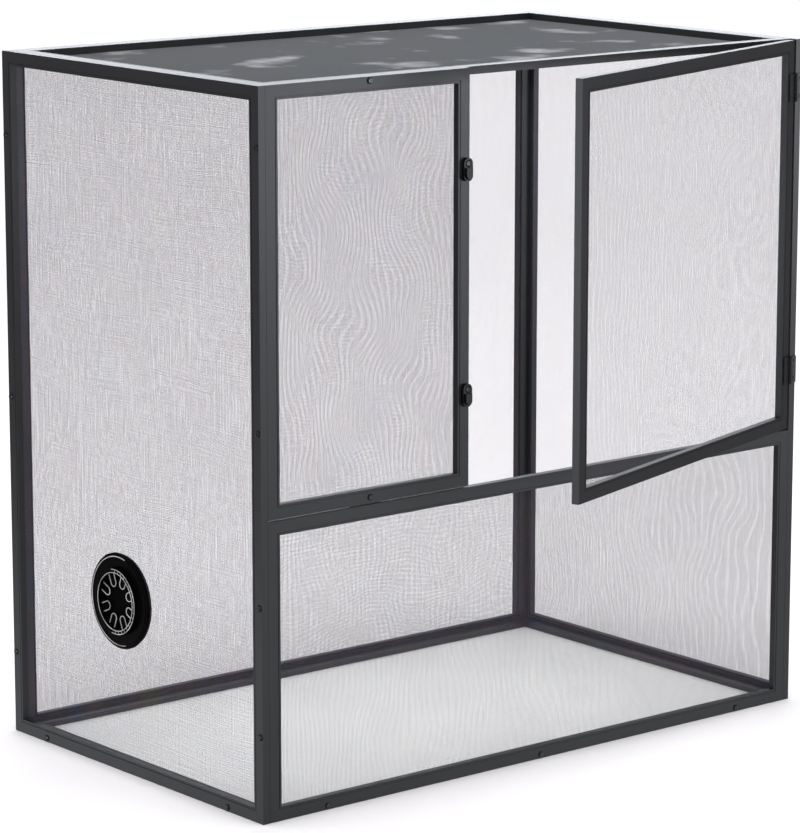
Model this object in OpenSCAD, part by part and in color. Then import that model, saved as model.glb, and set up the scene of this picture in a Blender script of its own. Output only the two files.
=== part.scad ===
// Mesh reptile cage: eight mitred frames of a hollow grooved bar, seven of them closed with wire mesh
// and the floor with a board. The upper front has a fixed panel at the left and a hinged door at the
// right. Origin at the middle of the underside, X to the right, Y to the rear, Z up, front at -Y.

/* [Cage] */
// Width across the front
cage_w = 900; // [700:10:1100]
// Depth from front to rear
cage_d = 540; // [440:10:660]
// Height from the underside to the top
cage_h = 900; // [760:10:1100]
// Height of the lower front panel
lower_h = 375; // [320:1:420]
// Width of the fixed panel beside the door
fixed_w = 315; // [270:1:360]

/* [Frame bars] */
// Thickness of a bar, from its outer face to its mesh side
bar_t = 10; // [9.5:0.1:12]
// Width of a bar's face
bar_face = 18; // [17.5:0.1:22]
// Wall of the hollow bar
bar_wall = 1.2; // [1:0.1:1.5]
// Width of the channel for the spline cord
channel_w = 3; // [2.8:0.1:3.4]
// Thickness of the lip beside the channel
lip_t = 1; // [0.8:0.1:1.4]
// Width of the shadow line along the face
groove_w = 1; // [0.6:0.1:1.4]
// Depth of the shadow line
groove_d = 0.8; // [0.5:0.1:1.2]
// Gap left where one frame seats against another
seat = 0.3; // [0.2:0.05:0.4]

/* [Mesh and floor] */
// Thickness of a mesh sheet
net_t = 0.6; // [0.4:0.1:0.8]
// Spacing of the sheet's openings
net_pitch = 90; // [80:1:130]
// Width of the strands between the openings
strand_w = 2; // [1.5:0.1:3]
// Thickness of the floor board
board_t = 3; // [2:0.1:3.4]
// Diameter of the spline cord
cord_d = 2.6; // [2.2:0.1:2.7]

/* [Door] */
// Gap round the closed door
door_gap = 3; // [2.4:0.1:4]
// How far the door stands open, in degrees
door_open = 18; // [0:1:90]
// Height of a hinge
hinge_h = 36; // [30:1:60]
// Radius of a hinge barrel
barrel_r = 3; // [2.6:0.1:3.4]
// Radius of a hinge pin
pin_r = 1.5; // [1.2:0.1:1.7]
// Thickness of a hinge leaf
leaf_t = 1.5; // [1.2:0.1:1.8]
// Running clearance of pins and pivots, on the radius
run_fit = 0.05; // [0.02:0.01:0.1]

/* [Latches] */
// Radius of the latch at its pivot
latch_r = 7; // [6.5:0.1:8]
// Reach of the latch below its pivot
latch_reach = 22; // [18:0.5:26]
// Thickness of the latch
latch_t = 4.5; // [4:0.1:6]
// Height of the finger knob over the panel side
knob_h = 7.5; // [6:0.1:10]
// Drop of the upper latch below the top
latch_drop = 117; // [80:1:160]
// Height of the lower latch over the fixed panel's foot
latch_rise = 124; // [80:1:160]

/* [Port] */
// Place of the port along the left wall, from the middle to the rear
port_y = 36; // [-80:1:80]
// Height of the port's centre
port_z = 220; // [160:1:300]
// Radius of the flange
port_r = 62; // [56:0.5:68]
// Radius of the knurled collar
collar_r = 43.5; // [42.5:0.5:47]
// Radius of the hub that carries the collar
hub_r = 40.5; // [39:0.1:41]
// Number of rubber fingers
finger_n = 8; // [6:1:9]
// Number of grooves in the collar
knurl_n = 36; // [24:1:48]

/* [Screws] */
// Radius of a screw head
head_r = 4; // [3.4:0.1:4.4]
// Height of a screw head
head_h = 2; // [1.6:0.1:2.4]
// Radius of a screw shank
shank_r = 1.7; // [1.4:0.1:2]
// Length of a screw shank
shank_l = 17; // [15:0.5:19]
// Distance of the end screws from the ends of the front and back rails
front_screw_in = 100; // [60:5:250]
// Distance of the screws from the ends of the side rails
side_screw_in = 73; // [60:1:150]

/* [Hidden] */
$fn = 48;
paint = [0.25, 0.26, 0.27];
mesh_grey = [0.42, 0.42, 0.44];
board_white = [0.92, 0.92, 0.91];
black = [0.05, 0.05, 0.05];
steel = [0.45, 0.46, 0.48];

// Bar section: hollow tube, then the channel, then the lip
channel_share = 0.55;
groove_step = 0.3;
tube_u = bar_face - lip_t - channel_w;
channel_v = bar_t * channel_share;
groove_u = tube_u + groove_step;
over = 1;

// Sheets lie at the inner side of the bars, over the lip
net_gap = 0.2;
net_step = 0.6;
hem_over = 3;
net_v0 = bar_t - net_gap - net_t;
net_u0 = tube_u + net_step;
net_hem = bar_face + hem_over - net_u0;
lip_v = net_v0 - net_gap;
board_v0 = bar_t - board_t;
board_lip_v = board_v0 - net_gap;
cord_u = tube_u + channel_w / 2;
cord_v = channel_v + net_gap + cord_d / 2;
cord_end_gap = 0.4;
cord_side_gap = 0.7;

// Frame sizes: the side walls run from front to back, the others fit between them
in_x = cage_w / 2 - bar_t - seat;
in_y = cage_d / 2 - bar_t - seat;
in_w = 2 * in_x;
in_d = 2 * in_y;
upper_z = lower_h + door_gap;
fixed_x = fixed_w - in_x;
fixed_gap = 2;
fixed_z = lower_h + fixed_gap;
fixed_h = cage_h - fixed_z;
door_x = fixed_x + door_gap;
door_edge_x = in_x + seat - door_gap;
door_w = door_edge_x - door_x;
door_head_gap = 1;
door_h = cage_h - upper_z - door_head_gap;

// Hinges: the barrels stand in front of the gap between the door and the right wall
leaf_gap = 0.3;
hinge_x = door_edge_x + door_gap / 2;
hinge_y = -cage_d / 2 - leaf_gap - barrel_r;
hinge_rise = 80;
hinge_drop = 63;
hinge_zs = [upper_z + hinge_rise, cage_h - hinge_drop];
knuckle_h = hinge_h / 3;
leaf_w = 15;
rivet_r = 2.2;
rivet_h = 0.8;
rivet_taper = 0.6;
pin_cap_in = 0.6;

// Latches: pivot far enough in that a hanging latch clears the door's edge
latch_gap = 0.4;
latch_clear = 1.5;
latch_x = fixed_x + latch_clear - latch_r;
latch_zs = [fixed_z + latch_rise, cage_h - latch_drop];
tail_cut = 4;
grip_inset = 2.2;
pivot_r = 2;
pivot_l = latch_t + bar_t;

// Keys fill the hollow of the bars at each mitre
key_gap = 0.2;
key_leg = 32;

// Port: heights are measured outwards from the mesh
port_gap = 0.3;
plate_t = 3.5;
plate_cut = 1;
patch_in = 2.5;
bead_in = 5;
bead_w = 1.2;
bead_h = 0.8;
hub_wall = 2.5;
hub_h = 8;
neck_step = 1;
neck_r = hub_r - neck_step;
neck_l = 14;
sleeve_r = hub_r - hub_wall;
lip_h = 2;
lip_over = 1;
collar_h = hub_h + lip_h;
knurl_r = 1.6;
knurl_out = 0.4;
nut_w = 7;
disc_t = 1.5;
finger_t = 2.5;
finger_w = 12;
finger_tip_r = 19;
finger_ring_w = 4;
finger_drop = 3;
finger_z = hub_h - finger_drop - finger_t;
disc_z = finger_z - port_gap - disc_t;

// Tie plate behind the seam of the fixed and lower panels
tie_w = 50;
tie_t = 2;
tie_inset = 2;
tie_x = (fixed_x - in_x) / 2;
tie_z0 = lower_h - tube_u + tie_inset;
tie_z1 = fixed_z + tube_u - tie_inset;
tie_mid_u = 7.5;
tie_screw_l = tie_t + seat + bar_t - 2 * bar_wall;

// Screw heads: domed towards the top, with a cross for the driver
head_taper = 0.65;
cross_l = head_r * 0.9;
cross_w = 0.9;

// Screw places: along the rails from their ends, and up the stiles as shares of a panel's height
front_screw_x = cage_w / 2 - front_screw_in;
side_screw_y = cage_d / 2 - side_screw_in;
lower_screw_zs = [0.29, 0.72];
fixed_screw_zs = [0.205, 0.86];
rear_screw_zs = [0.12, 0.5, 0.88];

// Places of the frames. A frame lies in its own x-y plane with its outer face at z = 0.

module on_left() {
  translate([-cage_w / 2, -cage_d / 2, 0]) rotate([90, 0, 90]) children();
}

module on_right() {
  translate([cage_w / 2, cage_d / 2, 0]) rotate([90, 0, -90]) children();
}

module on_back() {
  translate([-in_x, cage_d / 2, 0]) rotate([90, 0, 0]) children();
}

module on_top() {
  translate([-in_x, in_y, cage_h]) rotate([180, 0, 0]) children();
}

module on_floor() {
  translate([-in_x, in_y, bar_t]) rotate([180, 0, 0]) children();
}

module on_lower() {
  translate([in_x, -cage_d / 2, 0]) rotate([90, 0, 180]) children();
}

module on_fixed() {
  translate([fixed_x, -cage_d / 2, fixed_z]) rotate([90, 0, 180]) children();
}

module on_hinge() {
  translate([hinge_x, hinge_y, 0]) children();
}

// Carries a closed door's piece to the angle at which the door stands
module swung() {
  on_hinge() rotate([0, 0, door_open]) translate([-hinge_x, -hinge_y, 0]) children();
}

module on_door() {
  swung() translate([door_edge_x, -cage_d / 2, upper_z]) rotate([90, 0, 180]) children();
}

// Frame bars

module bar_section(lip) {
  difference() {
    polygon([
      [0, 0], [groove_u, 0], [groove_u, groove_d], [groove_u + groove_w, groove_d], [groove_u + groove_w, 0],
      [bar_face, 0], [bar_face, lip], [bar_face - lip_t, lip], [bar_face - lip_t, channel_v],
      [tube_u, channel_v], [tube_u, bar_t], [0, bar_t]
    ]);
    translate([bar_wall, bar_wall]) square([tube_u - 2 * bar_wall, bar_t - 2 * bar_wall]);
  }
}

// A bar along x with both ends mitred, its outer edge on y = 0
module bar(l, lip) {
  reach = bar_face + over;
  intersection() {
    rotate([90, 0, 90]) linear_extrude(l) bar_section(lip);
    translate([0, 0, -over]) linear_extrude(bar_t + 2 * over)
      polygon([[-over, -over], [l + over, -over], [l - reach, reach], [reach, reach]]);
  }
}

module low_bar(w, lip = lip_v) {
  bar(w, lip);
}

module high_bar(w, h, lip = lip_v) {
  translate([w, h, 0]) rotate([0, 0, 180]) bar(w, lip);
}

module near_bar(h, lip = lip_v) {
  translate([0, h, 0]) rotate([0, 0, -90]) bar(h, lip);
}

module far_bar(w, h, lip = lip_v) {
  translate([w, 0, 0]) rotate([0, 0, 90]) bar(h, lip);
}

// Mesh sheet of a frame, its openings spread evenly inside a hem
module net(w, h) {
  nw = w - 2 * net_u0;
  nh = h - 2 * net_u0;
  nx = max(2, round(nw / net_pitch));
  ny = max(2, round(nh / net_pitch));
  px = (nw - 2 * net_hem + strand_w) / nx;
  py = (nh - 2 * net_hem + strand_w) / ny;
  translate([net_u0, net_u0, net_v0]) difference() {
    cube([nw, nh, net_t]);
    for (i = [0 : nx - 1]) for (j = [0 : ny - 1])
      translate([net_hem + i * px, net_hem + j * py, -over])
        cube([px - strand_w, py - strand_w, net_t + 2 * over]);
  }
}

// Four cords that hold a frame's sheet in its channels
module cords(w, h) {
  end_x = tube_u + cord_end_gap;
  end_y = cord_u + cord_d / 2 + cord_side_gap;
  for (y = [cord_u, h - cord_u])
    translate([end_x, y, cord_v]) rotate([0, 90, 0]) cylinder(h = w - 2 * end_x, d = cord_d);
  for (x = [cord_u, w - cord_u])
    translate([x, end_y, cord_v]) rotate([-90, 0, 0]) cylinder(h = h - 2 * end_y, d = cord_d);
}

// Four angle keys in the hollow of a frame's mitres
module keys(w, h) {
  a = bar_wall + key_gap;
  b = tube_u - bar_wall - key_gap;
  for (i = [0, 1]) for (j = [0, 1])
    translate([i * w, j * h, a]) mirror([i, 0, 0]) mirror([0, j, 0])
      linear_extrude(bar_t - 2 * a)
        polygon([[a, a], [key_leg, a], [key_leg, b], [b, b], [b, key_leg], [a, key_leg]]);
}

// Screws. Each place has its z axis along the shank, from the face under the head.

module screw(l = shank_l) {
  difference() {
    union() {
      translate([0, 0, -head_h / 2]) cylinder(h = head_h / 2, r = head_r);
      translate([0, 0, -head_h]) cylinder(h = head_h / 2, r1 = head_r * head_taper, r2 = head_r);
      cylinder(h = l, r = shank_r);
    }
    for (a = [0, 90]) rotate([0, 0, a])
      translate([0, 0, -head_h]) cube([cross_l, cross_w, head_h], center = true);
  }
}

module screw_hole(l = shank_l) {
  translate([0, 0, -over]) cylinder(h = l + 2 * over, r = shank_r + run_fit);
}

module at_side_floor() {
  for (s = [-1, 1]) for (y = [-side_screw_y, side_screw_y])
    translate([s * cage_w / 2, y, bar_t / 2]) rotate([0, -90 * s, 0]) children();
}

module at_front_floor() {
  for (x = [-front_screw_x, 0, front_screw_x])
    translate([x, -cage_d / 2, bar_t / 2]) rotate([-90, 0, 0]) children();
}

module at_back_rails() {
  for (x = [-front_screw_x, 0, front_screw_x]) for (z = [bar_t / 2, cage_h - bar_t / 2])
    translate([x, cage_d / 2, z]) rotate([90, 0, 0]) children();
}

// Into the lower panel from both sides, and into the fixed panel from the left
module at_side_front() {
  for (z = lower_screw_zs) for (s = [-1, 1])
    translate([s * cage_w / 2, (bar_t - cage_d) / 2, z * lower_h]) rotate([0, -90 * s, 0]) children();
  for (z = fixed_screw_zs)
    translate([-cage_w / 2, (bar_t - cage_d) / 2, fixed_z + z * fixed_h]) rotate([0, 90, 0]) children();
}

// Through the side walls into the back wall
module at_side_rear() {
  for (s = [-1, 1]) for (z = rear_screw_zs)
    translate([s * cage_w / 2, (cage_d - bar_t) / 2, z * cage_h]) rotate([0, -90 * s, 0]) children();
}

module at_fixed_top() {
  translate([tie_x, -cage_d / 2, cage_h - bar_t / 2]) rotate([-90, 0, 0]) children();
}

// Through the fixed panel's foot into the tie plate
module at_tie_top() {
  translate([tie_x, -cage_d / 2, fixed_z + tie_mid_u]) rotate([-90, 0, 0]) children();
}

// From the tie plate into the lower panel, short of its front wall
module at_tie_foot() {
  translate([tie_x, seat + tie_t + bar_t - cage_d / 2, lower_h - tie_mid_u])
    rotate([90, 0, 0]) children();
}

module at_latches() {
  for (z = latch_zs) translate([latch_x, -cage_d / 2, z]) rotate([90, 0, 0]) children();
}

module panel_screws() {
  color(black) {
    at_side_floor() screw();
    at_front_floor() screw();
    at_back_rails() screw();
    at_side_front() screw();
    at_side_rear() screw();
    at_fixed_top() screw();
    at_tie_top() screw();
    at_tie_foot() screw(tie_screw_l);
  }
}

// Left wall

module left_front_stile() {
  color(paint) difference() {
    on_left() near_bar(cage_h);
    at_side_front() screw_hole();
  }
}

module left_rear_stile() {
  color(paint) difference() {
    on_left() far_bar(cage_d, cage_h);
    at_side_rear() screw_hole();
  }
}

module left_bottom_rail() {
  color(paint) difference() {
    on_left() low_bar(cage_d);
    at_side_floor() screw_hole();
  }
}

module left_top_rail() {
  color(paint) on_left() high_bar(cage_d, cage_h);
}

module left_net() {
  color(mesh_grey) difference() {
    union() {
      on_left() net(cage_d, cage_h);
      at_port() translate([0, 0, -net_t]) cylinder(h = net_t, r = port_r - patch_in);
    }
    at_port() translate([0, 0, -net_t - over]) cylinder(h = net_t + 2 * over, r = neck_r + port_gap);
  }
}

// Right wall

module right_front_stile() {
  color(paint) difference() {
    on_right() far_bar(cage_d, cage_h);
    at_side_front() screw_hole();
  }
}

module right_rear_stile() {
  color(paint) difference() {
    on_right() near_bar(cage_h);
    at_side_rear() screw_hole();
  }
}

module right_bottom_rail() {
  color(paint) difference() {
    on_right() low_bar(cage_d);
    at_side_floor() screw_hole();
  }
}

module right_top_rail() {
  color(paint) on_right() high_bar(cage_d, cage_h);
}

module right_net() {
  color(mesh_grey) on_right() net(cage_d, cage_h);
}

// Back wall

module back_left_stile() {
  color(paint) difference() {
    on_back() near_bar(cage_h);
    at_side_rear() screw_hole();
  }
}

module back_right_stile() {
  color(paint) difference() {
    on_back() far_bar(in_w, cage_h);
    at_side_rear() screw_hole();
  }
}

module back_bottom_rail() {
  color(paint) difference() {
    on_back() low_bar(in_w);
    at_back_rails() screw_hole();
  }
}

module back_top_rail() {
  color(paint) difference() {
    on_back() high_bar(in_w, cage_h);
    at_back_rails() screw_hole();
  }
}

module back_net() {
  color(mesh_grey) on_back() net(in_w, cage_h);
}

// Top

module top_left_rail() {
  color(paint) on_top() near_bar(in_d);
}

module top_right_rail() {
  color(paint) on_top() far_bar(in_w, in_d);
}

module top_front_rail() {
  color(paint) difference() {
    on_top() high_bar(in_w, in_d);
    at_fixed_top() screw_hole();
  }
}

module top_rear_rail() {
  color(paint) difference() {
    on_top() low_bar(in_w);
    at_back_rails() screw_hole();
  }
}

module top_net() {
  color(mesh_grey) on_top() net(in_w, in_d);
}

// Floor: the same bar, with a shorter lip that leaves room for the board

module floor_left_rail() {
  color(paint) difference() {
    on_floor() near_bar(in_d, board_lip_v);
    at_side_floor() screw_hole();
  }
}

module floor_right_rail() {
  color(paint) difference() {
    on_floor() far_bar(in_w, in_d, board_lip_v);
    at_side_floor() screw_hole();
  }
}

module floor_front_rail() {
  color(paint) difference() {
    on_floor() high_bar(in_w, in_d, board_lip_v);
    at_front_floor() screw_hole();
  }
}

module floor_rear_rail() {
  color(paint) difference() {
    on_floor() low_bar(in_w, board_lip_v);
    at_back_rails() screw_hole();
  }
}

module floor_board() {
  edge = tube_u + seat;
  color(board_white) on_floor() translate([edge, edge, board_v0])
    cube([in_w - 2 * edge, in_d - 2 * edge, board_t]);
}

// Lower front panel

module lower_left_stile() {
  color(paint) difference() {
    on_lower() far_bar(in_w, lower_h);
    at_side_front() screw_hole();
  }
}

module lower_right_stile() {
  color(paint) difference() {
    on_lower() near_bar(lower_h);
    at_side_front() screw_hole();
  }
}

module lower_bottom_rail() {
  color(paint) difference() {
    on_lower() low_bar(in_w);
    at_front_floor() screw_hole();
  }
}

module lower_top_rail() {
  color(paint) difference() {
    on_lower() high_bar(in_w, lower_h);
    at_tie_foot() screw_hole(tie_screw_l);
  }
}

module lower_net() {
  color(mesh_grey) on_lower() net(in_w, lower_h);
}

// Fixed panel beside the door

module fixed_left_stile() {
  color(paint) difference() {
    on_fixed() far_bar(fixed_w, fixed_h);
    at_side_front() screw_hole();
  }
}

module fixed_right_stile() {
  color(paint) difference() {
    on_fixed() near_bar(fixed_h);
    at_latches() translate([0, 0, -pivot_l]) cylinder(h = pivot_l + over, r = pivot_r + run_fit);
  }
}

module fixed_bottom_rail() {
  color(paint) difference() {
    on_fixed() low_bar(fixed_w);
    at_tie_top() screw_hole();
  }
}

module fixed_top_rail() {
  color(paint) difference() {
    on_fixed() high_bar(fixed_w, fixed_h);
    at_fixed_top() screw_hole();
  }
}

module fixed_net() {
  color(mesh_grey) on_fixed() net(fixed_w, fixed_h);
}

module tie_plate() {
  color(steel) difference() {
    translate([tie_x - tie_w / 2, seat + bar_t - cage_d / 2, tie_z0]) cube([tie_w, tie_t, tie_z1 - tie_z0]);
    at_tie_top() screw_hole();
    at_tie_foot() screw_hole(tie_screw_l);
  }
}

// Door

module door_free_stile() {
  color(paint) on_door() far_bar(door_w, door_h);
}

module door_hinge_stile() {
  color(paint) on_door() near_bar(door_h);
}

module door_bottom_rail() {
  color(paint) on_door() low_bar(door_w);
}

module door_top_rail() {
  color(paint) on_door() high_bar(door_w, door_h);
}

module door_net() {
  color(mesh_grey) on_door() net(door_w, door_h);
}

// Cords and keys

module wall_splines() {
  color(black) {
    on_left() cords(cage_d, cage_h);
    on_right() cords(cage_d, cage_h);
    on_back() cords(in_w, cage_h);
    on_top() cords(in_w, in_d);
    on_lower() cords(in_w, lower_h);
    on_fixed() cords(fixed_w, fixed_h);
  }
}

module door_spline() {
  color(black) on_door() cords(door_w, door_h);
}

module corner_keys() {
  color(black) {
    on_left() keys(cage_d, cage_h);
    on_right() keys(cage_d, cage_h);
    on_back() keys(in_w, cage_h);
    on_top() keys(in_w, in_d);
    on_floor() keys(in_w, in_d);
    on_lower() keys(in_w, lower_h);
    on_fixed() keys(fixed_w, fixed_h);
  }
}

module door_corner_keys() {
  color(black) on_door() keys(door_w, door_h);
}

// Hinges: a leaf with its knuckles, seen with the axis at the origin and the leaf to the right

module leaf(w, knuckles) {
  side = barrel_r + leaf_gap;
  difference() {
    union() {
      translate([side, barrel_r - leaf_t, -hinge_h / 2]) cube([w - side, leaf_t, hinge_h]);
      for (k = knuckles) translate([0, 0, (k - 1.5) * knuckle_h + leaf_gap / 2]) {
        cylinder(h = knuckle_h - leaf_gap, r = barrel_r);
        translate([0, barrel_r - leaf_t, 0]) cube([side + over, leaf_t, knuckle_h - leaf_gap]);
      }
      for (z = [-hinge_h / 3, hinge_h / 3])
        translate([(side + w) / 2, barrel_r - leaf_t, z]) rotate([90, 0, 0])
          cylinder(h = rivet_h, r1 = rivet_r, r2 = rivet_r * rivet_taper);
    }
    translate([0, 0, -hinge_h]) cylinder(h = 2 * hinge_h, r = pin_r + run_fit);
  }
}

module hinge_frame_leaves() {
  color(steel) for (z = hinge_zs)
    on_hinge() translate([0, 0, z]) leaf(cage_w / 2 - hinge_x, [0, 2]);
}

module hinge_door_leaves() {
  color(steel) for (z = hinge_zs)
    swung() on_hinge() translate([0, 0, z]) mirror([1, 0, 0]) leaf(leaf_w, [1]);
}

module hinge_pins() {
  cap_h = 1;
  color(steel) for (z = hinge_zs) on_hinge() translate([0, 0, z]) {
    translate([0, 0, -hinge_h / 2]) cylinder(h = hinge_h, r = pin_r);
    for (s = [-1, 1])
      translate([0, 0, s * (hinge_h + cap_h) / 2]) cylinder(h = cap_h, r = barrel_r - pin_cap_in, center = true);
  }
}

// Latches: a turn button that hangs from its pivot, with a finger grip along the tail

module tail(half, y0, y1) {
  cut = min(tail_cut, half - over);
  polygon([[-half, y0], [-half, y1 + cut], [cut - half, y1], [half - cut, y1], [half, y1 + cut], [half, y0]]);
}

module latch(z) {
  grip_y = -head_r - leaf_gap - over;
  color(black) translate([latch_x, -cage_d / 2 - latch_gap, z]) rotate([90, 0, 0]) difference() {
    union() {
      cylinder(h = latch_t, r = latch_r);
      linear_extrude(latch_t) tail(latch_r, 0, -latch_reach);
      linear_extrude(knob_h) tail(latch_r - grip_inset, grip_y, grip_inset - latch_reach);
    }
    translate([0, 0, -over]) cylinder(h = latch_t + 2 * over, r = pivot_r + run_fit);
    translate([0, 0, latch_t - head_h]) cylinder(h = head_h + over, r = head_r + leaf_gap);
  }
}

module latch_lower() {
  latch(latch_zs[0]);
}

module latch_upper() {
  latch(latch_zs[1]);
}

module latch_screws() {
  head_z = latch_gap + latch_t - head_h + leaf_gap;
  color(steel) at_latches() difference() {
    union() {
      translate([0, 0, over - pivot_l]) cylinder(h = head_z + pivot_l - over, r = pivot_r);
      translate([0, 0, head_z]) cylinder(h = head_h / 2, r = head_r);
      translate([0, 0, head_z + head_h / 2]) cylinder(h = head_h / 2, r1 = head_r, r2 = head_r * head_taper);
    }
    for (a = [0, 90]) rotate([0, 0, a])
      translate([0, 0, head_z + head_h]) cube([cross_l, cross_w, head_h], center = true);
  }
}

// Port in the left wall. Its z axis points outwards, from the outer side of the mesh.

module at_port() {
  translate([net_v0 - cage_w / 2, port_y, port_z]) rotate([0, -90, 0]) children();
}

module port_flange() {
  plate_top = port_gap + plate_t;
  bead_r = port_r - bead_in;
  color(black) at_port() rotate_extrude() polygon([
    [sleeve_r, -neck_l], [neck_r, -neck_l], [neck_r, port_gap], [port_r, port_gap],
    [port_r, plate_top - plate_cut], [port_r - plate_cut, plate_top], [bead_r + bead_w, plate_top],
    [bead_r + bead_w, plate_top + bead_h], [bead_r, plate_top + bead_h], [bead_r, plate_top],
    [hub_r, plate_top], [hub_r, hub_h], [sleeve_r, hub_h]
  ]);
}

module port_clamp_ring() {
  face = -net_t - port_gap;
  nut_r = neck_r + nut_w;
  color(black) at_port() rotate_extrude() polygon([
    [neck_r + port_gap, face], [port_r - patch_in, face], [port_r - patch_in, face - plate_t],
    [nut_r, face - plate_t], [nut_r, face - 2 * plate_t], [neck_r + port_gap, face - 2 * plate_t]
  ]);
}

module port_collar() {
  foot = plate_t + 2 * port_gap;
  color(black) at_port() difference() {
    rotate_extrude() polygon([
      [hub_r + run_fit, foot], [collar_r, foot], [collar_r, collar_h], [sleeve_r - lip_over, collar_h],
      [sleeve_r - lip_over, hub_h + port_gap], [hub_r + run_fit, hub_h + port_gap]
    ]);
    for (i = [0 : knurl_n - 1]) rotate([0, 0, 360 / knurl_n * i])
      translate([collar_r + knurl_out, 0, foot - over]) cylinder(h = collar_h, r = knurl_r, $fn = 24);
  }
}

// Rubber ring with round-ended fingers that point to the middle
module port_fingers() {
  ring_r = sleeve_r - port_gap;
  tip_x = finger_tip_r + finger_w / 2;
  color(black) at_port() translate([0, 0, finger_z]) union() {
    difference() {
      cylinder(h = finger_t, r = ring_r);
      translate([0, 0, -over]) cylinder(h = finger_t + 2 * over, r = ring_r - finger_ring_w);
    }
    for (i = [0 : finger_n - 1]) rotate([0, 0, 360 / finger_n * (i + 0.5)]) {
      translate([tip_x, -finger_w / 2, 0]) cube([ring_r - over - tip_x, finger_w, finger_t]);
      translate([tip_x, 0, 0]) cylinder(h = finger_t, r = finger_w / 2);
    }
  }
}

module port_disc() {
  color(black) at_port() translate([0, 0, disc_z]) cylinder(h = disc_t, r = sleeve_r - port_gap);
}

left_front_stile();
left_rear_stile();
left_bottom_rail();
left_top_rail();
right_front_stile();
right_rear_stile();
right_bottom_rail();
right_top_rail();
back_left_stile();
back_right_stile();
back_bottom_rail();
back_top_rail();
top_left_rail();
top_right_rail();
top_front_rail();
top_rear_rail();
floor_left_rail();
floor_right_rail();
floor_front_rail();
floor_rear_rail();
lower_left_stile();
lower_right_stile();
lower_bottom_rail();
lower_top_rail();
fixed_left_stile();
fixed_right_stile();
fixed_bottom_rail();
fixed_top_rail();
door_free_stile();
door_hinge_stile();
door_bottom_rail();
door_top_rail();
left_net();
right_net();
back_net();
top_net();
lower_net();
fixed_net();
door_net();
floor_board();
wall_splines();
door_spline();
corner_keys();
door_corner_keys();
panel_screws();
tie_plate();
hinge_frame_leaves();
hinge_door_leaves();
hinge_pins();
latch_upper();
latch_lower();
latch_screws();
port_flange();
port_clamp_ring();
port_collar();
port_fingers();
port_disc();
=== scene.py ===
"""Looks of a mesh reptile cage: fine wire sheets in painted frames, a pale floor board and a black port."""

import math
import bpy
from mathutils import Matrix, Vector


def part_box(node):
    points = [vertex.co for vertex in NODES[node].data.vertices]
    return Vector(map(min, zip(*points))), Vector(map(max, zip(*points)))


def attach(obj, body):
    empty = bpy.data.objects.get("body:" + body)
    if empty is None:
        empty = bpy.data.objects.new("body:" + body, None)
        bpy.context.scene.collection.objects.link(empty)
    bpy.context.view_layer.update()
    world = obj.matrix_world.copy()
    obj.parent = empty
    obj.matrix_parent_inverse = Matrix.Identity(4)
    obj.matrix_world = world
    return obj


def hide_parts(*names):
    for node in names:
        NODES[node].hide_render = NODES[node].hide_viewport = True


bl_info = {
    "name": "Mesh Reptile Cage",
    "version": (1, 0, 0),
    "blender": (4, 5, 0),
    "location": "View3D > Sidebar > Cage",
    "description": "Dresses the frames of a mesh reptile cage with wire sheets and finishes",
    "category": "Object",
}

from collections import namedtuple

import bpy
import numpy as np
from bpy.props import FloatProperty, FloatVectorProperty, PointerProperty
from mathutils import Vector

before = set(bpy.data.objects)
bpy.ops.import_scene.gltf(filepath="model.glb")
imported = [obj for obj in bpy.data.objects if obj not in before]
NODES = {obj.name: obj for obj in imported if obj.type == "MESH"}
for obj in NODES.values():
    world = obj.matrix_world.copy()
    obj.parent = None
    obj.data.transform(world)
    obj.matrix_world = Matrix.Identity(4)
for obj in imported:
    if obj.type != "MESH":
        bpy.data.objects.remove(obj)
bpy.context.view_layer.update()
BARS = [n for n in NODES if n.endswith(("_rail", "_stile"))]

# A mesh sheet: the body it rides on, the gauges and the pitches of its level and upright wires, its stretch, its
# drift, how closely the drift waves, and its ruffle, all as shares of the common ones, and its finish
Sheet = namedtuple("Sheet", "body gauges pitches stretch drift waves ruffle look")
SHEETS = {
    "left_net": Sheet("cage", (0.83, 0.84), (0.73, 0.84), 1.0, 1.4, 1.3, 1.0, "soft_wire"),
    "right_net": Sheet("cage", (1.0, 1.0), (1.0, 1.0), 1.0, 1.0, 1.0, 0.2, "wall_wire"),
    "back_net": Sheet("cage", (1.0, 1.0), (1.0, 1.0), 1.0, 1.0, 1.0, 0.2, "wall_wire"),
    "top_net": Sheet("cage", (1.0, 1.0), (1.0, 1.0), 1.0, 1.0, 1.0, 0.2, "top_wire_painted_glints"),
    "lower_net": Sheet("cage", (0.86, 1.39), (0.70, 1.09), 0.7, 1.3, 1.6, 0.3, "wall_wire"),
    "fixed_net": Sheet("cage", (0.68, 1.75), (0.66, 1.06), 0.3, 2.0, 1.6, 0.25, "vivid_wire"),
    "door_net": Sheet("door", (0.51, 0.51), (1.0, 1.0), 1.0, 1.0, 1.0, 0.2, "wall_wire"),
}

# A sheet lies level if its outward axis rises by more than this
LEVEL_RISE = 0.9
# Waves of the drift: the share of its size, and the radians per metre along the wires and aside from them
DRIFT_WAVES = ((1.0, 15.0, 9.0), (0.7, -23.0, 19.0), (0.4, 41.0, 27.0))
# Distance from a sheet's edge within which its frame holds the weave straight
EDGE_REACH = 0.06
# Phase of the waves from one sheet to the next, and from a sheet's level wires to its upright ones
SHEET_PHASE = 1.9
UPRIGHT_PHASE = 1.3
# The ruffle's seed is the phase in these parts of a radian
SEEDS_PER_RADIAN = 10

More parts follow.
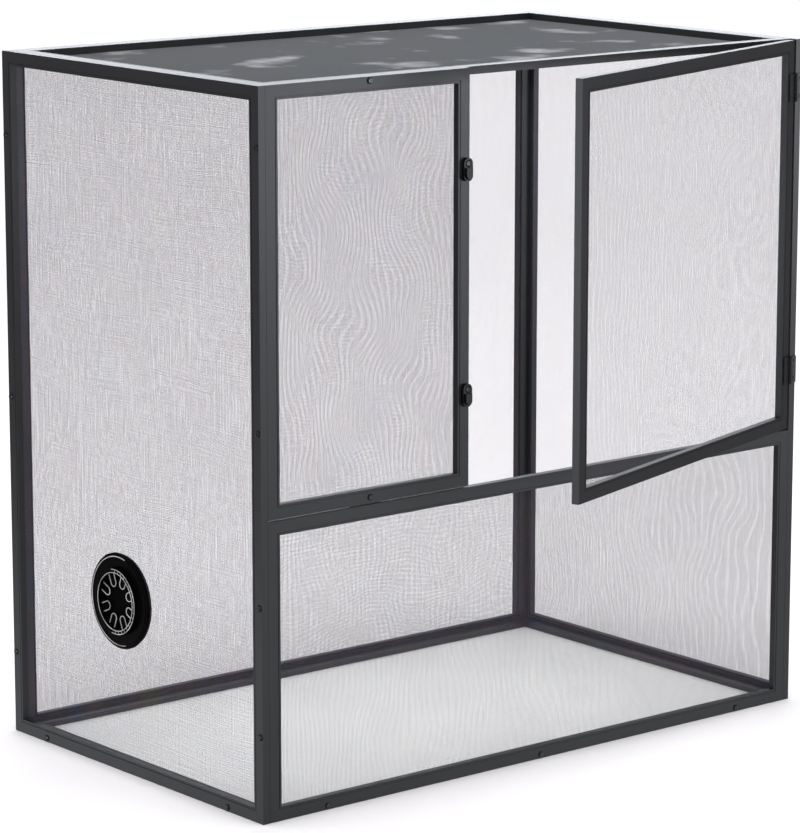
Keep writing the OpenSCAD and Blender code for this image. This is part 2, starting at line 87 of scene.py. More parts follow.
# A tinted wire finish: how much of its patches' colour shows, as a share of the mildness, the patches per metre, and
# how many times as high as wide they are
WireLook = namedtuple("WireLook", "share patch tall")
WIRE_LOOKS = {
    "vivid_wire": WireLook(1.8, 30.0, 2.0),
    "soft_wire": WireLook(1.4, 13.0, 1.0),
    "wall_wire": WireLook(1.0, 26.0, 1.8),
}
WIRE_SPAN = (0.36, 0.64)
WIRE_SURFACE = {"rough": (0.4, 0.6), "grain": 900.0, "bump": 0.00001}

# Noise detail of every finish's patches and grain, and the strength of its relief
PATCH_DETAIL = 4.0
GRAIN_DETAIL = 3.0
RELIEF_STRENGTH = 0.5

# Darker and lighter tones of the finishes that hardly show
ALUMINIUM_TONES = ((0.40, 0.41, 0.43), (0.52, 0.53, 0.55))
SPLINE_TONES = ((0.012, 0.012, 0.012), (0.025, 0.025, 0.025))
KEY_TONES = ((0.02, 0.02, 0.02), (0.035, 0.035, 0.035))
STUDIO_TONES = ((0.93, 0.93, 0.93), (0.96, 0.96, 0.96))

# Sides of the rods that draw the port's painted highlight lines, and the fingers of its rubber ring
BEAD_SIDES = 6
FINGERS = 8

# A glowing card: its middle, half its width as a step along the floor, half its height, and the shares of its peak
# brightness from its foot to its head. Its peak is the studio's setting of the same name
Card = namedtuple("Card", "middle across up shares")
CARDS = {
    "front_card": Card((1.85, -2.63, -0.1), (0.68, 0.56), 1.0, (0.28, 0.22, 0.11, 0.13, 0.28, 0.80, 1.35)),
    "door_card": Card((-3.0, 0.31, 0.0), (0.2, 0.77), 0.8, (0.2, 0.3, 0.6, 1.0, 1.0)),
    "foot_card": Card((-2.35, 2.32, -0.85), (0.93, 0.76), 0.35, (1.0, 1.0)),
    "rear_card": Card((1.14, 1.39, 1.16), (1.0, -0.82), 0.28, (1.0, 1.0)),
}
CARD_TINT = (0.92, 0.96, 1.02)

# Corners of a unit square, and the one face of a four-cornered piece
UNIT_SQUARE = ((0, 0), (1, 0), (1, 1), (0, 1))
ONE_FACE = np.array([[0, 1, 2, 3]])

# Half the floor's width, its distance under the cage, and the soft lights over the cage and over the floor board
FLOOR_REACH = 30.0
FLOOR_DROP = 0.0005
OVERHEAD_PLACE = (0, 0, 3.6)
OVERHEAD_SIZE = (3.2, 3.0)
INSIDE_PLACE = (0, 0, 0.8)

# Height of the photograph's frame in pixels, the sensor in millimetres that spans it, and how far the camera sees
PHOTO_HEIGHT = 833
SENSOR = 36.0
SIGHT = 200.0


class WireSettings(bpy.types.PropertyGroup):
    """Sizes and colours of the wire sheets"""

    level_pitch: FloatProperty(
        name="Level pitch", description="Distance between the wires that run across a sheet",
        default=0.00141, unit="LENGTH", precision=5,
    )
    upright_pitch: FloatProperty(
        name="Upright pitch", description="Distance between the wires that run up a sheet",
        default=0.00181, unit="LENGTH", precision=5,
    )
    thickness: FloatProperty(
        name="Thickness", description="Thickness of a wire",
        default=0.00024, unit="LENGTH", precision=6,
    )
    stretch: FloatProperty(
        name="Stretch", description="Length of a straight stretch along a wire",
        default=0.042, unit="LENGTH", precision=4,
    )
    drift: FloatProperty(
        name="Drift", description="How far the weave wanders sideways in its sheet",
        default=0.0011, unit="LENGTH", precision=5,
    )
    ruffle: FloatProperty(
        name="Ruffle", description="How far the wires stray by themselves at a bend",
        default=0.00028, min=0, max=0.001, precision=5, subtype="DISTANCE",
    )
    blue: FloatVectorProperty(
        name="Blue tone", description="Colour of the wire in its bluish patches",
        default=(0.042, 0.063, 0.182), subtype="COLOR", min=0, max=1,
    )
    violet: FloatVectorProperty(
        name="Violet tone", description="Colour of the wire in its violet patches",
        default=(0.111, 0.036, 0.170), subtype="COLOR", min=0, max=1,
    )
    grey: FloatVectorProperty(
        name="Grey tone", description="Colour of the wire in its plain patches",
        default=(0.054, 0.058, 0.066), subtype="COLOR", min=0, max=1,
    )
    rose: FloatVectorProperty(
        name="Rose tone", description="Colour of the wire in its reddish patches",
        default=(0.190, 0.046, 0.105), subtype="COLOR", min=0, max=1,
    )
    straw: FloatVectorProperty(
        name="Straw tone", description="Colour of the wire in its yellowish patches",
        default=(0.153, 0.113, 0.046), subtype="COLOR", min=0, max=1,
    )
    mildness: FloatProperty(
        name="Mildness", description="Share of the patches' colour that the plainest wire shows",
        default=0.25, min=0, max=1,
    )
    top: FloatVectorProperty(
        name="Top tone", description="Colour of the wire of the top sheet",
        default=(0.144, 0.156, 0.164), subtype="COLOR", min=0, max=1,
    )
    # Pale patches of the top sheet's wire: painted glints of reflected light
    painted_glint: FloatVectorProperty(
        name="Worn tone", description="Colour of the bright patches of the top sheet",
        default=(0.44, 0.45, 0.47), subtype="COLOR", min=0, max=1,
    )


class FinishSettings(bpy.types.PropertyGroup):
    """Colours of the solid pieces"""

    paint: FloatVectorProperty(
        name="Frame paint", description="Powder coat of the frame bars",
        default=(0.0150, 0.0158, 0.0172), subtype="COLOR", min=0, max=1,
    )
    board: FloatVectorProperty(
        name="Floor board", description="Face of the floor board",
        default=(0.912, 0.926, 0.910), subtype="COLOR", min=0, max=1,
    )
    port: FloatVectorProperty(
        name="Port plastic", description="Moulded plastic of the port and the latches",
        default=(0.002, 0.002, 0.002), subtype="COLOR", min=0, max=1,
    )
    # The port's raised lines are pale grey as painted highlights of its edges
    port_highlight_line: FloatVectorProperty(
        name="Port lines", description="Moulded lines on the port's face",
        default=(0.42, 0.42, 0.42), subtype="COLOR", min=0, max=1,
    )
    steel: FloatVectorProperty(
        name="Screw steel", description="Darkened steel of the screws",
        default=(0.10, 0.10, 0.105), subtype="COLOR", min=0, max=1,
    )


class StudioSettings(bpy.types.PropertyGroup):
    """Camera and light of the studio"""

    eye: FloatVectorProperty(
        name="Eye", description="Place of the camera",
        default=(-3.097, -3.754, 1.379), subtype="XYZ", unit="LENGTH",
    )
    yaw: FloatProperty(
        name="Yaw", description="Turn of the camera from straight ahead to the right",
        default=math.radians(39.40), subtype="ANGLE",
    )
    pitch: FloatProperty(
        name="Pitch", description="Downward tilt of the camera",
        default=math.radians(11.287), subtype="ANGLE",
    )
    focal_pixels: FloatProperty(
        name="Focal length", description="Focal length in pixels of the photograph's frame",
        default=3750.0,
    )
    backdrop: FloatProperty(
        name="Backdrop", description="Brightness of the white behind the cage",
        default=1.3,
    )
    daylight: FloatProperty(
        name="Daylight", description="Strength of the even light all round",
        default=1.23,
    )
    daylight_tint: FloatVectorProperty(
        name="Daylight tint", description="Colour of the even light all round",
        default=(1.0, 0.980, 1.012), subtype="COLOR", min=0, max=2,
    )
    overhead: FloatProperty(
        name="Overhead", description="Power of the soft light over the cage",
        default=30.0, unit="POWER",
    )
    inside: FloatProperty(
        name="Inside", description="Power of the soft light over the floor board",
        default=2.4, unit="POWER",
    )
    gloss_light: FloatProperty(
        name="Gloss light", description="How bright the room looks in glossy faces",
        default=0.2,
    )
    front_card: FloatProperty(
        name="Front card", description="Brightness of the card mirrored in the front faces",
        default=7.4,
    )
    door_card: FloatProperty(
        name="Door card", description="Brightness of the card mirrored in the door's free edge",
        default=4.5,
    )
    foot_card: FloatProperty(
        name="Foot card", description="Brightness of the low card mirrored in the left bottom rail",
        default=1.4,
    )
    rear_card: FloatProperty(
        name="Rear card", description="Brightness of the card mirrored in the top faces",
        default=4.5,
    )


def mesh_piece(name, points, faces):
    """A new object at the origin from an array of points and an array of faces, all in the frame's metres."""
    mesh = bpy.data.meshes.new(name)
    mesh.from_pydata(points.reshape(-1, 3), [], faces)
    mesh.update()
    piece = bpy.data.objects.new(name, mesh)
    bpy.context.scene.collection.objects.link(piece)
    return piece


def node_points(node):
    """The vertices of a CAD node as an array of rows x, y, z."""
    mesh = NODES[node].data
    flat = np.empty(len(mesh.vertices) * 3, np.float32)
    mesh.vertices.foreach_get("co", flat)
    return flat.reshape(-1, 3).astype(float)


def node_middle(node):
    """The middle of a CAD node's box."""
    low, high = (np.array(corner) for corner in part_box(node))
    return (low + high) / 2


def sheet_axes(node):
    """Middle, across, up and outward axes and half sizes of a flat sheet.

    The outward axis is the direction in which the sheet's points spread least. Up is Z for a wall and Y
    for a level sheet, across is square to both, and the half sizes are the spread of the points along each.
    """
    points = node_points(node)
    middle = (points.min(0) + points.max(0)) / 2
    spread = np.linalg.svd(points - points.mean(0), full_matrices=False)[2]
    out = spread[2]
    up = np.array([0.0, 1.0, 0.0]) if abs(out[2]) > LEVEL_RISE else np.array([0.0, 0.0, 1.0])
    across = np.cross(up, out)
    axes = np.stack([across, up, out])
    half = np.abs((points - middle) @ axes.T).max(0)
    return middle, axes, half


def wire_runs(half_run, half_step, pitch, hole):
    """Start, end and sideways place of each wire of one set.

    The places divide the width evenly at about the pitch. A wire that meets the round hole is cut where its
    line enters and leaves the circle, at the circle's half chord on either side of the hole's middle.
    """
    count = int(round(2 * half_step / pitch))
    step = np.linspace(-half_step, half_step, count)
    start = np.full(count, -half_run)
    end = np.full(count, half_run)
    if hole is None:
        return start, end, step
    along, aside, radius = hole
    chord = np.sqrt(np.clip(radius ** 2 - (step - aside) ** 2, 0, None))
    cut = chord > 0
    first = np.concatenate([start, (along + chord)[cut]])
    last = np.concatenate([np.where(cut, along - chord, end), end[cut]])
    return first, last, np.concatenate([step, step[cut]])


def drift_field(run, step, size, waves, phase):
    """Sideways wander of the weave: the size times the sum of the drift's sine waves, each with its share.

    A wave's angle grows along the wires and aside from them, faster on a sheet that waves more closely. The
    first wave is shifted by the phase, the second by twice the phase and the third by three times.
    """
    run, step = waves * run, waves * step
    return size * sum(
        share * np.sin(ahead * run + aside * step + number * phase)
        for number, (share, ahead, aside) in enumerate(DRIFT_WAVES, 1)
    )


def rod_faces(index):
    """Faces of rods from their points' numbers, by rod, ring and corner: the sides, and the ends as two lists."""
    turned = np.roll(index, -1, axis=2)
    sides = np.stack([index[:, :-1], turned[:, :-1], turned[:, 1:], index[:, 1:]], -1).reshape(-1, 4)
    ends = np.concatenate([index[:, 0, ::-1], index[:, -1]])
    return sides, ends


def wire_set(run_axis, step_axis, out_axis, runs, lift, gauge, stretch, drift, waves, ruffle, phase):
    """Points and faces of one set of wires.

    Each wire is a four-cornered rod: rings of four points, half a thickness to each side and to the front
    and back, carried along the wire's line and shifted sideways by the drift of the weave, which fades out
    towards the sheet's edges, and, at each bend by itself, by the ruffle.
    """
    first, last, step = runs
    bends = int(math.ceil((last - first).max() / stretch))
    share = np.linspace(0, 1, bends + 1)
    along = first[:, None] + (last - first)[:, None] * share
    hold = np.clip((np.abs(step).max() - np.abs(step)) / EDGE_REACH, 0, 1)
    aside = step[:, None] + hold[:, None] * drift_field(along, step[:, None], drift, waves, phase)
    aside += np.random.default_rng(int(SEEDS_PER_RADIAN * phase)).normal(0, ruffle, along.shape)
    line = along[..., None] * run_axis + aside[..., None] * step_axis + lift * out_axis
    ring = np.stack([step_axis, out_axis, -step_axis, -out_axis]) * gauge / 2
    points = line[:, :, None, :] + ring
    faces = np.concatenate(rod_faces(np.arange(points.size // 3).reshape(points.shape[:3])))
    if np.dot(np.cross(step_axis, out_axis), run_axis) < 0:
        faces = faces[:, ::-1]
    return points.reshape(-1, 3), faces


def wire_sheet(node, sheet, wire, phase, hole=None):
    """Two crossed sets of wires, level and upright, in the place of a CAD sheet, on its two sides."""
    middle, (across, up, out), half = sheet_axes(node)
    hole_up = None
    hole_across = None
    if hole is not None:
        centre, radius = hole
        a, u = (centre - middle) @ across, (centre - middle) @ up
        hole_across = (a, u, radius)
        hole_up = (u, a, radius)
    weave = (sheet.stretch * wire.stretch, sheet.drift * wire.drift, sheet.waves, sheet.ruffle * wire.ruffle)
    gauge, pitch = sheet.gauges[0] * wire.thickness, sheet.pitches[0] * wire.level_pitch
    runs = wire_runs(half[0], half[1], pitch, hole_across)
    level = wire_set(across, up, out, runs, gauge / 2, gauge, *weave, phase)
    gauge, pitch = sheet.gauges[1] * wire.thickness, sheet.pitches[1] * wire.upright_pitch
    runs = wire_runs(half[1], half[0], pitch, hole_up)
    upright = wire_set(up, across, out, runs, -gauge / 2, gauge, *weave, phase + UPRIGHT_PHASE)
    points = np.concatenate([level[0], upright[0]]) + middle
    faces = np.concatenate([level[1], upright[1] + len(level[0])])
    return mesh_piece(node.replace("_net", "_wire_sheet"), points, faces)


def bead(paths, out_axis, radius):
    """Points and faces of raised lines that follow flat paths.

    paths holds equal runs of points, one run to a line. Each line is a six-sided rod: rings of points on a
    circle of the given radius, one at each point of the run, spread along the outward axis and along the
    path's own normal, which is the outward axis crossed with the run's direction.
    """
    ahead = np.gradient(paths, axis=1)
    ahead /= np.linalg.norm(ahead, axis=2, keepdims=True)
    normal = np.cross(out_axis, ahead)
    turn = np.linspace(0, 2 * math.pi, BEAD_SIDES + 1)[:-1]
    ring = np.cos(turn)[:, None] * normal[:, :, None, :] + np.sin(turn)[:, None] * out_axis
    points = paths[:, :, None, :] + radius * ring
    sides, ends = rod_faces(np.arange(points.size // 3).reshape(points.shape[:3]))
    return points.reshape(-1, 3), sides.tolist() + ends.tolist()


def about_port(flat, angles, place):
    """Flat runs of points (outward along a radius, aside from it), turned about the port's axis.

    Each run is repeated at every angle, in the port's plane: a point's place is the port's centre plus its
    radius and its side step, both turned by the angle from the rear towards the top.
    """
    cos, sin = np.cos(angles)[:, None], np.sin(angles)[:, None]
    rear = flat[:, 0] * cos - flat[:, 1] * sin
    top = flat[:, 0] * sin + flat[:, 1] * cos
    return np.stack([np.zeros_like(rear), rear, top], -1) + place


def shade_stops(ramp, levels, shades):
    """Sets a colour ramp's stops: one shade at each level."""
    stops = ramp.color_ramp.elements
    while len(stops) < len(shades):
        stops.new(0.5)
    for stop, level, shade in zip(stops, levels, shades):
        stop.position = level
        stop.color = (*shade, 1)


def finish(name, shades, patch, rough, grain, bump, metallic=0.0, span=(0.3, 0.7), tall=1.0, shine=0.5):
    """A material whose colour drifts through a run of shades in patches, with grain in its sheen and relief.

    patch and grain are the two noises' sizes per metre, rough the lowest and highest roughness, bump the
    depth of the relief in metres, metallic the share of bare metal, span the noise levels of the first and
    the last shade, tall how many times as high as wide the patches are, and shine the strength of the gloss.
    """
    material = bpy.data.materials.new(name)
    material.use_nodes = True
    nodes, links = material.node_tree.nodes, material.node_tree.links
    shader = nodes["Principled BSDF"]
    place = nodes.new("ShaderNodeTexCoord")
    tone = nodes.new("ShaderNodeTexNoise")
    tone.inputs["Scale"].default_value = patch
    tone.inputs["Detail"].default_value = PATCH_DETAIL
    ramp = nodes.new("ShaderNodeValToRGB")
    shade_stops(ramp, np.linspace(*span, len(shades)), shades)
    speck = nodes.new("ShaderNodeTexNoise")
    speck.inputs["Scale"].default_value = grain
    speck.inputs["Detail"].default_value = GRAIN_DETAIL
    sheen = nodes.new("ShaderNodeMapRange")
    sheen.inputs["To Min"].default_value = rough[0]
    sheen.inputs["To Max"].default_value = rough[1]
    relief = nodes.new("ShaderNodeBump")
    relief.inputs["Strength"].default_value = RELIEF_STRENGTH
    relief.inputs["Distance"].default_value = bump
    mapping = nodes.new("ShaderNodeMapping")
    mapping.inputs["Scale"].default_value = (1, 1, 1 / tall)
    links.new(place.outputs["Object"], mapping.inputs["Vector"])
    links.new(mapping.outputs["Vector"], tone.inputs["Vector"])
    links.new(place.outputs["Object"], speck.inputs["Vector"])
    links.new(tone.outputs["Fac"], ramp.inputs["Fac"])
    links.new(ramp.outputs["Color"], shader.inputs["Base Color"])
    links.new(speck.outputs["Fac"], sheen.inputs["Value"])
    links.new(sheen.outputs["Result"], shader.inputs["Roughness"])
    links.new(speck.outputs["Fac"], relief.inputs["Height"])
    links.new(relief.outputs["Normal"], shader.inputs["Normal"])
    shader.inputs["Metallic"].default_value = metallic
    shader.inputs["Specular IOR Level"].default_value = shine
    return material


def tones(colour, spread):
    """A darker and a lighter tone of a colour, the given share apart from it."""
    colour = np.array(colour)
    return colour * (1 - spread), np.clip(colour * (1 + spread), 0, 1)


def dress(names, material):
    """Gives CAD nodes a material in place of their packed ones."""
    for name in names:
        slots = NODES[name].data.materials
        slots.clear()
        slots.append(material)


def card(name, place, peak):
    """A glowing card that only glossy faces see.

    Its corners lie half its width and half its height from its middle. Its brightness runs from foot to head
    through its shares of the peak, set evenly up the card.
    """
    middle, across, up = (np.array(v, float) for v in (place.middle, (*place.across, 0), (0, 0, place.up)))
    corners = np.stack([middle - across - up, middle + across - up, middle + across + up, middle - across + up])
    piece = mesh_piece(name, corners, ONE_FACE)
    layer = piece.data.uv_layers.new(name="Height")
    layer.data.foreach_set("uv", np.array(UNIT_SQUARE, np.float32).ravel())
    material = bpy.data.materials.new(name)
    material.use_nodes = True
    nodes, links = material.node_tree.nodes, material.node_tree.links
    nodes.clear()
    height = nodes.new("ShaderNodeUVMap")
    height.uv_map = "Height"
    split = nodes.new("ShaderNodeSeparateXYZ")
    ramp = nodes.new("ShaderNodeValToRGB")
    shade_stops(ramp, np.linspace(0, 1, len(place.shares)), np.outer(place.shares, CARD_TINT))
    glow = nodes.new("ShaderNodeEmission")
    glow.inputs["Strength"].default_value = peak
    out = nodes.new("ShaderNodeOutputMaterial")
    links.new(height.outputs["UV"], split.inputs["Vector"])
    links.new(split.outputs["Y"], ramp.inputs["Fac"])
    links.new(ramp.outputs["Color"], glow.inputs["Color"])
    links.new(glow.outputs["Emission"], out.inputs["Surface"])
    piece.data.materials.append(material)
    piece.visible_camera = False
    piece.visible_diffuse = False
    piece.visible_transmission = False
    piece.visible_shadow = False


def soft_light(name, place, size, power):
    """A level light that shines down, unseen by the camera and in glossy faces."""
    lamp = bpy.data.lights.new(name, "AREA")
    lamp.shape = "RECTANGLE"
    lamp.size, lamp.size_y = size
    lamp.energy = power
    piece = bpy.data.objects.new(name, lamp)
    piece.location = place
    piece.visible_camera = False
    piece.visible_glossy = False
    bpy.context.scene.collection.objects.link(piece)


class CAGE_OT_wire_sheets(bpy.types.Operator):
    """Weaves a fine wire sheet in the place of each sheet of the frames"""

    bl_idname = "cage.wire_sheets"
    bl_label = "Weave wire sheets"

    def execute(self, context):
        wire = context.scene.cage_wire
        finishes = self.finishes(wire)
        port = node_middle("port_clamp_ring")
        neck_radius = np.linalg.norm((node_points("left_net") - port)[:, 1:], axis=1).min()
        for number, (node, sheet) in enumerate(SHEETS.items()):
            hole = (port, neck_radius) if node == "left_net" else None
            piece = wire_sheet(node, sheet, wire, SHEET_PHASE * number, hole)
            piece.data.materials.append(finishes[sheet.look])
            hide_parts(node)
            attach(piece, sheet.body)
        return {"FINISHED"}

    def finishes(self, wire):
        """The wire finishes by name: patches of tint, each its share of the way from grey, and the top's painted
        glints.
        """
        grey = np.array(wire.grey)
        shades = [np.array(shade) for shade in (wire.blue, wire.violet, grey, wire.rose, wire.violet, wire.straw)]
        made = {}
        for name, look in WIRE_LOOKS.items():
            tinted = [grey + look.share * wire.mildness * (shade - grey) for shade in shades]
            made[name] = finish(name, tinted, look.patch, span=WIRE_SPAN, tall=look.tall, **WIRE_SURFACE)
        # The top sheet's wire turns pale in sparse patches as painted glints
        made["top_wire_painted_glints"] = finish("top_wire_painted_glints", (wire.top, wire.painted_glint), patch=11.0, span=(0.57, 0.70), **WIRE_SURFACE)
        return made


class CAGE_OT_frames(bpy.types.Operator):
    """Coats the frame bars"""

    bl_idname = "cage.frames"
    bl_label = "Coat the frames"

    def execute(self, context):
        shades = tones(context.scene.cage_finish.paint, spread=0.12)
        dress(BARS, finish("frame_paint", shades, patch=5.0, rough=(0.30, 0.42), grain=1400.0, bump=0.00006))
        return {"FINISHED"}


class CAGE_OT_floor_board(bpy.types.Operator):
    """Gives the floor board its pale face"""

    bl_idname = "cage.floor_board"
    bl_label = "Finish the floor board"

    def execute(self, context):
        shades = tones(context.scene.cage_finish.board, spread=0.03)
        dress(["floor_board"],
              finish("pale_board", shades, patch=7.0, rough=(0.35, 0.5), grain=500.0, bump=0.00004))
        return {"FINISHED"}


class CAGE_OT_fasteners(bpy.types.Operator):
    """Finishes the screws, hinges and the tie plate"""

    bl_idname = "cage.fasteners"
    bl_label = "Finish the fasteners"

    def execute(self, context):
        settings = context.scene.cage_finish
        steel, paint = (tones(colour, spread=0.2) for colour in (settings.steel, settings.paint))
        dress(["panel_screws", "latch_screws"],
              finish("dark_steel", steel, patch=300.0, rough=(0.25, 0.4), grain=3000.0, bump=0.00002, metallic=1.0))
        dress(["hinge_frame_leaves", "hinge_door_leaves", "hinge_pins"],
              finish("hinge_paint", paint, patch=60.0, rough=(0.28, 0.4), grain=1800.0, bump=0.00004))
        dress(["tie_plate"],
              finish("plain_aluminium", ALUMINIUM_TONES, patch=80.0, rough=(0.3, 0.45), grain=1200.0, bump=0.00003,
                     metallic=1.0))
        return {"FINISHED"}


class CAGE_OT_latches(bpy.types.Operator):
    """Finishes the two turn latches"""

    bl_idname = "cage.latches"
    bl_label = "Finish the latches"

    def execute(self, context):
        shades = tones(context.scene.cage_finish.port, spread=0.2)
        dress(["latch_upper", "latch_lower"],
              finish("latch_plastic", shades, patch=120.0, rough=(0.35, 0.5), grain=2200.0, bump=0.00005))
        return {"FINISHED"}


class CAGE_OT_port(bpy.types.Operator):
    """Finishes the port's shell and its rubber, and draws pale raised lines on them as painted highlights of their
    edges
    """

    bl_idname = "cage.port"
    bl_label = "Finish the port"

    def execute(self, context):
        settings = context.scene.cage_finish
        shades = tones(settings.port, spread=0.2)
        dress(["port_flange", "port_clamp_ring", "port_collar"],
              finish("port_plastic", shades, patch=60.0, rough=(0.25, 0.4), grain=1500.0, bump=0.00003, shine=0.02))
        dress(["port_fingers", "port_disc"],
              finish("port_rubber", shades, patch=90.0, rough=(0.5, 0.65), grain=1800.0, bump=0.00006, shine=0.02))
        # Pale rods on the black port, painted as the highlights its edges catch
        lines = finish("port_painted_highlights", tones(settings.port_highlight_line, spread=0.5), patch=45.0, rough=(0.4, 0.6),
                       grain=1500.0, bump=0.00003)
        axis = node_middle("port_flange")
        out = np.array([-1.0, 0.0, 0.0])
        for name, body, slot, made in (
            ("port_shell_painted_highlights", "cage", "port_shell", self.flange_highlights(axis, out)),
            ("port_finger_painted_highlights", "cage", "port_rubber", self.finger_highlights(axis, out)),
            ("port_collar_painted_highlights", "collar", "port_shell", self.collar_highlights(axis, out)),
        ):
            piece = mesh_piece(name, *made)
            piece.data.materials.append(lines)
            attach(piece, body)
        return {"FINISHED"}

    def arc(self, axis, level, radius, start, end, count=97):
        """One run of points round the port's axis at an outward level, angles from the rear towards the top."""
        turn = np.linspace(math.radians(start), math.radians(end), count)
        rear, top = axis[1] + radius * np.cos(turn), axis[2] + radius * np.sin(turn)
        return np.stack([np.full(count, level), rear, top], -1)[None]

    def flange_highlights(self, axis, out):
        """A pale line on the rear half of the flange's raised ring, near its rim: a painted highlight of the ring's
        edge.
        """
        inset, band, thick = 0.0045, 0.002, 0.0006
        points = node_points("port_flange")
        reach = np.linalg.norm(points[:, 1:] - axis[1:], axis=1)
        radius = reach.max() - inset
        level = points[reach > radius - band, 0].min()
        return bead(self.arc(axis, level, radius, -105, 105), out, thick)

    def finger_highlights(self, axis, out):
        """The outline of each rubber finger, a pale painted edge highlight: straight in, round its tip and straight
        out again.
        """
        half, tip, root, thick, count = 0.0055, 0.025, 0.0362, 0.0006, 15
        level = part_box("port_fingers")[0][0]
        turn = np.linspace(-math.pi / 2, -3 * math.pi / 2, count)
        arc = np.stack([tip + half * np.cos(turn), half * np.sin(turn)], -1)
        run = np.concatenate([[[root, -half]], arc, [[root, half]]])
        angles = (np.arange(FINGERS) + 0.5) * 2 * math.pi / FINGERS
        paths = about_port(run, angles, np.array([level, axis[1], axis[2]]))
        return bead(paths, out, thick)

    def collar_highlights(self, axis, out):
        """Pale lines painted as highlights: along the collar face's inner edge, and outside it on the front half
        with ticks.
        """
        inner_inset, outer_inset, thick, tick_thick = 0.0006, 0.0016, 0.0005, 0.0003
        points = node_points("port_collar")
        reach = np.linalg.norm(points[:, 1:] - axis[1:], axis=1)
        level = points[:, 0].min()
        inner, outer = reach.min() + inner_inset, reach.max() - outer_inset
        rings = np.concatenate([self.arc(axis, level, inner, 0, 360), self.arc(axis, level, outer, 80, 280)])
        tick = np.stack([np.linspace(inner, outer, 3), np.zeros(3)], -1)
        ticks = about_port(tick, np.radians(np.arange(90, 271, 10)), np.array([level, axis[1], axis[2]]))
        lines, faces = bead(rings, out, thick)
        marks, mark_faces = bead(ticks, out, tick_thick)
        faces += [[corner + len(lines) for corner in face] for face in mark_faces]
        return np.concatenate([lines, marks]), faces


class CAGE_OT_inner_pieces(bpy.types.Operator):
    """Finishes the spline cords and the corner keys"""

    bl_idname = "cage.inner_pieces"
    bl_label = "Finish the inner pieces"

    def execute(self, context):
        dress(["wall_splines", "door_spline"],
              finish("spline_rubber", SPLINE_TONES, patch=200.0, rough=(0.6, 0.8), grain=1600.0, bump=0.0001))
        dress(["corner_keys", "door_corner_keys"],
              finish("key_plastic", KEY_TONES, patch=100.0, rough=(0.45, 0.6), grain=1500.0, bump=0.00005))
        return {"FINISHED"}


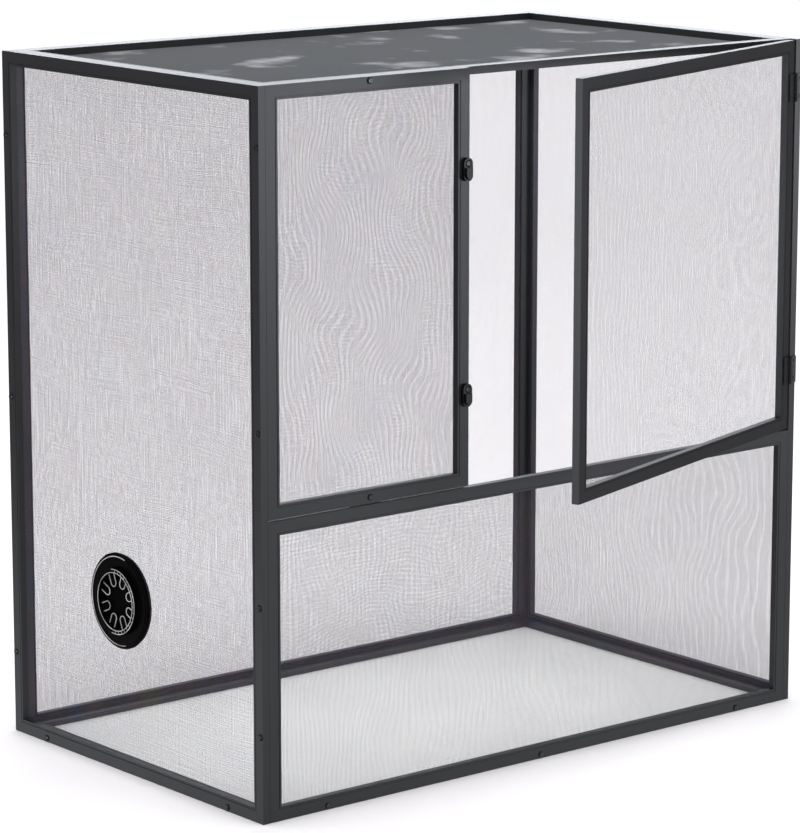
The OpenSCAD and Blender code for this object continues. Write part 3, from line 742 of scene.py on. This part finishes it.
class CAGE_OT_studio(bpy.types.Operator):
    """Sets the pale floor, the soft light and the camera"""

    bl_idname = "cage.studio"
    bl_label = "Set the studio"

    def execute(self, context):
        studio = context.scene.cage_studio
        self.floor()
        self.light(context.scene, studio)
        self.camera(context.scene, studio)
        return {"FINISHED"}

    def floor(self):
        """A level square far wider than the cage, just under it."""
        corners = FLOOR_REACH * np.array([[-1, -1, 0], [1, -1, 0], [1, 1, 0], [-1, 1, 0]])
        corners[:, 2] = -FLOOR_DROP
        piece = mesh_piece("studio_floor", corners, ONE_FACE)
        piece.data.materials.append(
            finish("studio_white", STUDIO_TONES, patch=0.4, rough=(0.8, 0.9), grain=20.0, bump=0.0001))
        piece.visible_glossy = False

    def light(self, scene, studio):
        """White all round, dimmer for what glossy faces mirror, with cards in the places they mirror."""
        world = bpy.data.worlds.new("studio_world")
        scene.world = world
        world.use_nodes = True
        nodes, links = world.node_tree.nodes, world.node_tree.links
        sky = nodes["Background"]
        sky.inputs["Color"].default_value = (*studio.daylight_tint, 1)
        path = nodes.new("ShaderNodeLightPath")
        span = nodes.new("ShaderNodeMapRange")
        span.inputs["To Min"].default_value = studio.daylight
        span.inputs["To Max"].default_value = studio.gloss_light
        seen = nodes.new("ShaderNodeMix")
        seen.inputs["B"].default_value = studio.backdrop
        links.new(path.outputs["Is Glossy Ray"], span.inputs["Value"])
        links.new(path.outputs["Is Camera Ray"], seen.inputs["Factor"])
        links.new(span.outputs["Result"], seen.inputs["A"])
        links.new(seen.outputs["Result"], sky.inputs["Strength"])
        for name, place in CARDS.items():
            card(name, place, getattr(studio, name))
        soft_light("overhead_light", OVERHEAD_PLACE, OVERHEAD_SIZE, studio.overhead)
        low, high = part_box("floor_board")
        soft_light("inside_light", INSIDE_PLACE, (high[0] - low[0], high[1] - low[1]), studio.inside)
        scene.view_settings.view_transform = "Standard"
        scene.view_settings.look = "None"

    def camera(self, scene, studio):
        """The photograph's camera: long lens, in front and to the left, tilted down."""
        lens = bpy.data.cameras.new("studio_camera")
        lens.sensor_width = SENSOR
        lens.lens = studio.focal_pixels / PHOTO_HEIGHT * SENSOR
        lens.clip_end = SIGHT
        view = bpy.data.objects.new("studio_camera", lens)
        level = math.cos(studio.pitch)
        ahead = Vector((math.sin(studio.yaw) * level, math.cos(studio.yaw) * level, -math.sin(studio.pitch)))
        view.location = studio.eye
        view.rotation_mode = "QUATERNION"
        view.rotation_quaternion = ahead.to_track_quat("-Z", "Y")
        scene.collection.objects.link(view)
        scene.camera = view


STEPS = (
    CAGE_OT_wire_sheets,
    CAGE_OT_frames,
    CAGE_OT_floor_board,
    CAGE_OT_fasteners,
    CAGE_OT_latches,
    CAGE_OT_port,
    CAGE_OT_inner_pieces,
    CAGE_OT_studio,
)


class CAGE_PT_panel(bpy.types.Panel):
    """Lists the cage's settings and steps"""

    bl_idname = "CAGE_PT_panel"
    bl_label = "Mesh Reptile Cage"
    bl_space_type = "VIEW_3D"
    bl_region_type = "UI"
    bl_category = "Cage"

    def draw(self, context):
        for settings in (context.scene.cage_wire, context.scene.cage_finish, context.scene.cage_studio):
            box = self.layout.box()
            for name in settings.__annotations__:
                box.prop(settings, name)
        for step in STEPS:
            self.layout.operator(step.bl_idname)


CLASSES = (WireSettings, FinishSettings, StudioSettings, *STEPS, CAGE_PT_panel)


def register():
    """Registers the classes and hangs the settings on the scene."""
    for cls in CLASSES:
        bpy.utils.register_class(cls)
    bpy.types.Scene.cage_wire = PointerProperty(type=WireSettings)
    bpy.types.Scene.cage_finish = PointerProperty(type=FinishSettings)
    bpy.types.Scene.cage_studio = PointerProperty(type=StudioSettings)


def unregister():
    """Takes the settings off the scene and unregisters the classes."""
    del bpy.types.Scene.cage_studio
    del bpy.types.Scene.cage_finish
    del bpy.types.Scene.cage_wire
    for cls in reversed(CLASSES):
        bpy.utils.unregister_class(cls)


def main():
    """Registers the add-on and takes every step."""
    register()
    for step in STEPS:
        group, name = step.bl_idname.split(".")
        getattr(getattr(bpy.ops, group), name)()


if __name__ == "__main__":
    main()
